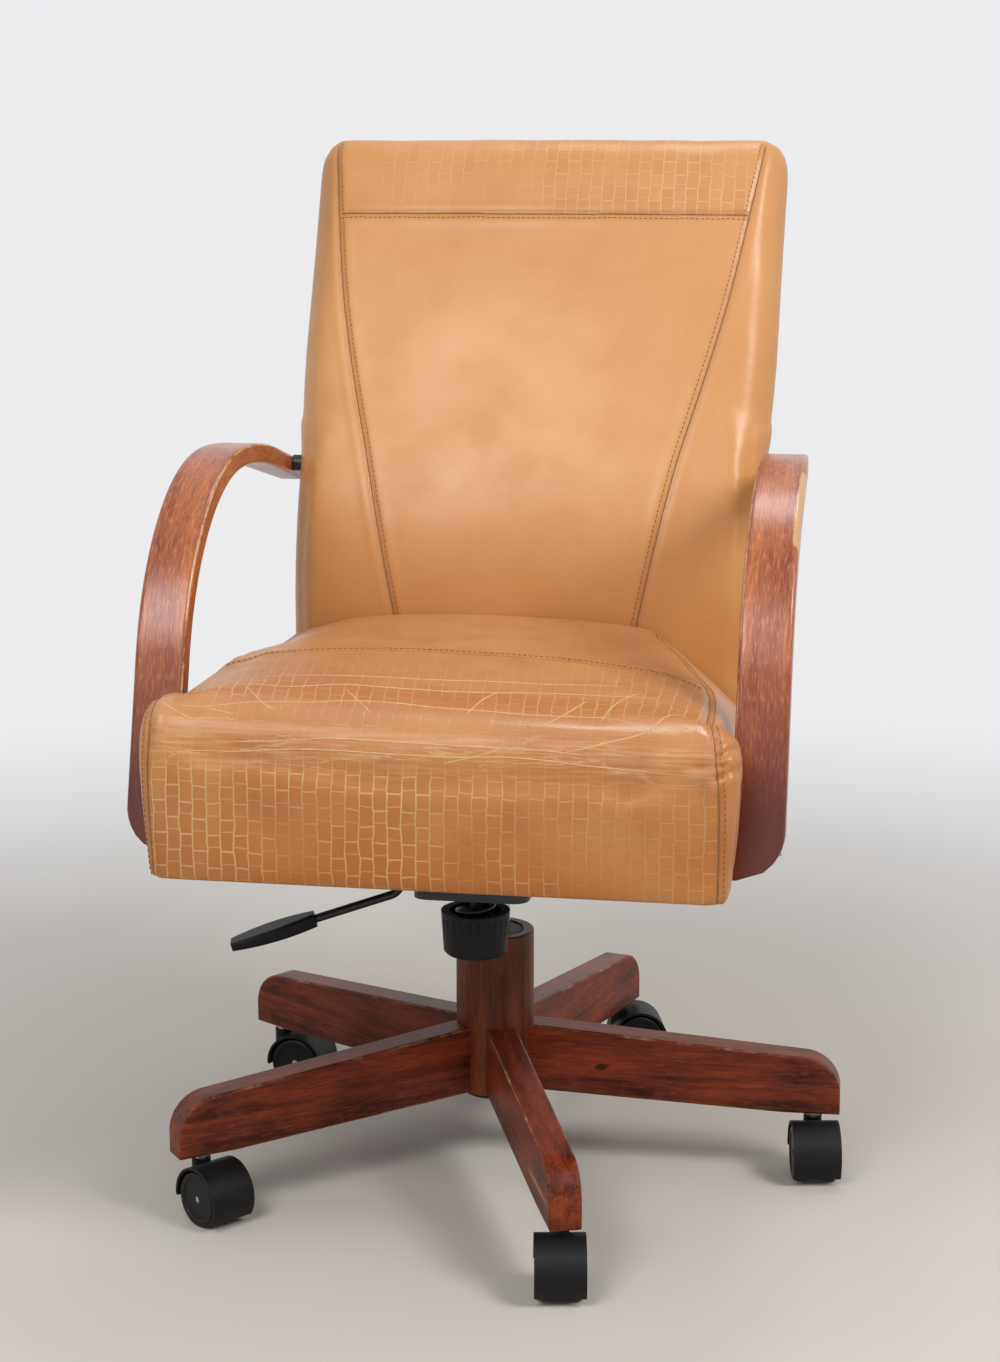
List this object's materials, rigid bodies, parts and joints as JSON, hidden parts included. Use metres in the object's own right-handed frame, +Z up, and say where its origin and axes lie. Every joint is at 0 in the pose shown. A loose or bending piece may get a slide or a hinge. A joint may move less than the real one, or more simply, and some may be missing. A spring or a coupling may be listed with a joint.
{
  "type": "office chair",
  "caption": "Leather-covered swivel office chair with bentwood loop arms, wooden star base on twin-wheel casters, gas lift and sprung tilt.",
  "frame": {"origin": "on the floor under the column's axis", "axes": "+Z up along the column, the sitter faces -Y, +X to the sitter's left hand"},
  "size_m": [0.613, 0.7072, 0.9526],
  "materials": {
    "base_wood": "satin lacquered red-brown hardwood",
    "arm_wood": "satin lacquered bentwood, worn pale along its edges",
    "leather": "tan leather with an embossed block pattern",
    "plywood": "bare plywood and hardwood",
    "black_plastic": "moulded black nylon",
    "wheel_plastic": "smooth black nylon",
    "steel": "bright ground steel",
    "black_steel": "black enamelled steel",
    "cover_cloth": "black non-woven cloth"
  },
  "bodies": {
    "base": {"hub_column": "base_wood", "leg_1": "base_wood", "leg_2": "base_wood", "leg_3": "base_wood", "leg_4": "base_wood", "leg_5": "base_wood", "leg_screws": "steel", "hub_sleeve": "black_steel", "hub_cap": "black_plastic", "caster_sockets": "steel", "caster_stems": "steel", "gas_tube": "black_steel", "gas_bush": "black_plastic", "thrust_bearing": "steel"},
    "piston": {"piston_rod": "steel"},
    "mechanism": {"gas_cylinder": "steel", "mechanism_housing": "black_steel", "pivot_shaft": "steel", "tilt_spring": "black_steel"},
    "button": {"release_button": "steel"},
    "lever": {"lever_rod": "black_steel", "lever_paddle": "black_plastic"},
    "seat_unit": {"seat_plate": "black_steel", "hanger_pin": "steel", "seat_board": "plywood", "seat_rails": "plywood", "dust_cover": "cover_cloth", "seat_bolts": "steel", "seat_cushion": "leather", "back_board": "plywood", "back_brackets": "black_steel", "back_panel": "leather", "back_cushion": "leather", "arm_right": "arm_wood", "arm_left": "arm_wood", "arm_spacers": "black_steel", "arm_bolts": "steel"},
    "bolt": {"tension_bolt": "black_steel"},
    "knob": {"tension_knob": "black_plastic"},
    "caster_1": {"caster_1_hood": "black_plastic", "caster_1_axle": "steel"},
    "caster_1_a": {"caster_1_wheel_a": "wheel_plastic"},
    "caster_1_b": {"caster_1_wheel_b": "wheel_plastic"},
    "caster_2": {"caster_2_hood": "black_plastic", "caster_2_axle": "steel"},
    "caster_2_a": {"caster_2_wheel_a": "wheel_plastic"},
    "caster_2_b": {"caster_2_wheel_b": "wheel_plastic"},
    "caster_3": {"caster_3_hood": "black_plastic", "caster_3_axle": "steel"},
    "caster_3_a": {"caster_3_wheel_a": "wheel_plastic"},
    "caster_3_b": {"caster_3_wheel_b": "wheel_plastic"},
    "caster_4": {"caster_4_hood": "black_plastic", "caster_4_axle": "steel"},
    "caster_4_a": {"caster_4_wheel_a": "wheel_plastic"},
    "caster_4_b": {"caster_4_wheel_b": "wheel_plastic"},
    "caster_5": {"caster_5_hood": "black_plastic", "caster_5_axle": "steel"},
    "caster_5_a": {"caster_5_wheel_a": "wheel_plastic"},
    "caster_5_b": {"caster_5_wheel_b": "wheel_plastic"}
  },
  "joints": [
    {"name": "swivel", "type": "hinge", "parent": "base", "child": "piston", "pos_m": [0, 0, 0], "axis": [0, 0, 1], "continuous": true},
    {"name": "lift", "type": "slide", "parent": "piston", "child": "mechanism", "axis": [0, 0, 1], "range_m": [-0.045, 0.055]},
    {"name": "tilt", "type": "hinge", "parent": "mechanism", "child": "seat_unit", "pos_m": [0, -0.048, 0.318], "axis": [-1, 0, 0], "range_deg": [0, 12], "stiffness_Nm_per_rad": 150, "springref_deg": -17.19, "deforming": ["tilt_spring"]},
    {"name": "lever_pull", "type": "hinge", "parent": "mechanism", "child": "lever", "pos_m": [-0.05052, -0.01232, 0.3223], "axis": [-0.2368, 0.9715, 0], "range_deg": [0, 5], "stiffness_Nm_per_rad": 2, "springref_deg": -5.73},
    {"name": "button_press", "type": "slide", "parent": "mechanism", "child": "button", "axis": [0, 0, -1], "range_m": [0, 0.006]},
    {"name": "tension_hang", "type": "hinge", "parent": "seat_unit", "child": "bolt", "pos_m": [0, -0.1, 0.334], "axis": [-1, 0, 0], "range_deg": [-12, 0]},
    {"name": "tension_turn", "type": "hinge", "parent": "bolt", "child": "knob", "pos_m": [0, -0.1, 0.25], "axis": [0, 0, 1], "range_deg": [-1080, 1080]},
    {"name": "caster_1_swivel", "type": "hinge", "parent": "base", "child": "caster_1", "pos_m": [0.10506, -0.281, 0], "axis": [0, 0, 1], "continuous": true},
    {"name": "caster_1_roll_a", "type": "hinge", "parent": "caster_1", "child": "caster_1_a", "pos_m": [0.10854, -0.3007, 0.025], "axis": [-0.9848, -0.1736, 0], "continuous": true},
    {"name": "caster_1_roll_b", "type": "hinge", "parent": "caster_1", "child": "caster_1_b", "pos_m": [0.10854, -0.3007, 0.025], "axis": [-0.9848, -0.1736, 0], "continuous": true},
    {"name": "caster_2_swivel", "type": "hinge", "parent": "base", "child": "caster_2", "pos_m": [0.29971, 0.01309, 0], "axis": [0, 0, 1], "continuous": true},
    {"name": "caster_2_roll_a", "type": "hinge", "parent": "caster_2", "child": "caster_2_a", "pos_m": [0.30319, -0.00661, 0.025], "axis": [-0.9848, -0.1736, 0], "continuous": true},
    {"name": "caster_2_roll_b", "type": "hinge", "parent": "caster_2", "child": "caster_2_b", "pos_m": [0.30319, -0.00661, 0.025], "axis": [-0.9848, -0.1736, 0], "continuous": true},
    {"name": "caster_3_swivel", "type": "hinge", "parent": "base", "child": "caster_3", "pos_m": [0.08017, 0.28909, 0], "axis": [0, 0, 1], "continuous": true},
    {"name": "caster_3_roll_a", "type": "hinge", "parent": "caster_3", "child": "caster_3_a", "pos_m": [0.09949, 0.29427, 0.025], "axis": [0.2588, -0.9659, 0], "continuous": true},
    {"name": "caster_3_roll_b", "type": "hinge", "parent": "caster_3", "child": "caster_3_b", "pos_m": [0.09949, 0.29427, 0.025], "axis": [0.2588, -0.9659, 0], "continuous": true},
    {"name": "caster_4_swivel", "type": "hinge", "parent": "base", "child": "caster_4", "pos_m": [-0.25017, 0.16558, 0], "axis": [0, 0, 1], "continuous": true},
    {"name": "caster_4_roll_a", "type": "hinge", "parent": "caster_4", "child": "caster_4_a", "pos_m": [-0.23041, 0.16245, 0.025], "axis": [-0.1564, -0.9877, 0], "continuous": true},
    {"name": "caster_4_roll_b", "type": "hinge", "parent": "caster_4", "child": "caster_4_b", "pos_m": [-0.23041, 0.16245, 0.025], "axis": [-0.1564, -0.9877, 0], "continuous": true},
    {"name": "caster_5_swivel", "type": "hinge", "parent": "base", "child": "caster_5", "pos_m": [-0.23478, -0.18675, 0], "axis": [0, 0, 1], "continuous": true},
    {"name": "caster_5_roll_a", "type": "hinge", "parent": "caster_5", "child": "caster_5_a", "pos_m": [-0.21902, -0.19907, 0.025], "axis": [-0.6157, -0.788, 0], "continuous": true},
    {"name": "caster_5_roll_b", "type": "hinge", "parent": "caster_5", "child": "caster_5_b", "pos_m": [-0.21902, -0.19907, 0.025], "axis": [-0.6157, -0.788, 0], "continuous": true}
  ],
  "couplings": [
    {"joint": "button_press", "follows": "lever_pull", "m_per_rad": 0.056},
    {"joint": "tension_hang", "follows": "tilt", "ratio": -1}
  ]
}
